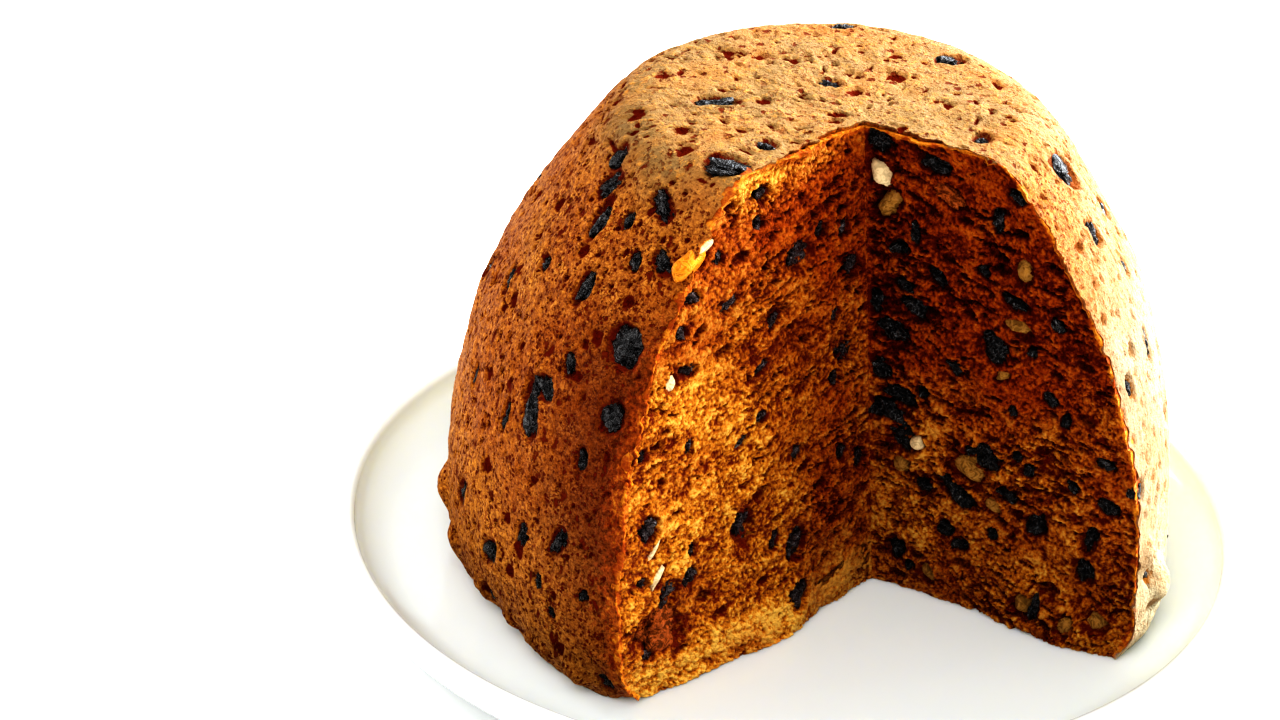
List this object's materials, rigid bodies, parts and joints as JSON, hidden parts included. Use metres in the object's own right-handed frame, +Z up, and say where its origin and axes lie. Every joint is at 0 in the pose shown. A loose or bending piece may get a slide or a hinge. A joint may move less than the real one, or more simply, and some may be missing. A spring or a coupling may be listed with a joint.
{
  "type": "christmas pudding",
  "caption": "Steamed fruit pudding, a flat-topped dome studded with dried fruit, with a wide slice cut out, on its round white plate.",
  "frame": {"origin": "middle of the plate's foot ring, on the surface the plate stands on", "axes": "+Z up; the missing slice opens towards -Y, and +X is to the right of someone who looks at it"},
  "size_m": [0.2364, 0.2364, 0.1403],
  "materials": {
    "plate": "gloss",
    "pudding": "matte"
  },
  "bodies": {
    "root": {"plate": "plate", "pudding": "pudding"}
  },
  "joints": []
}
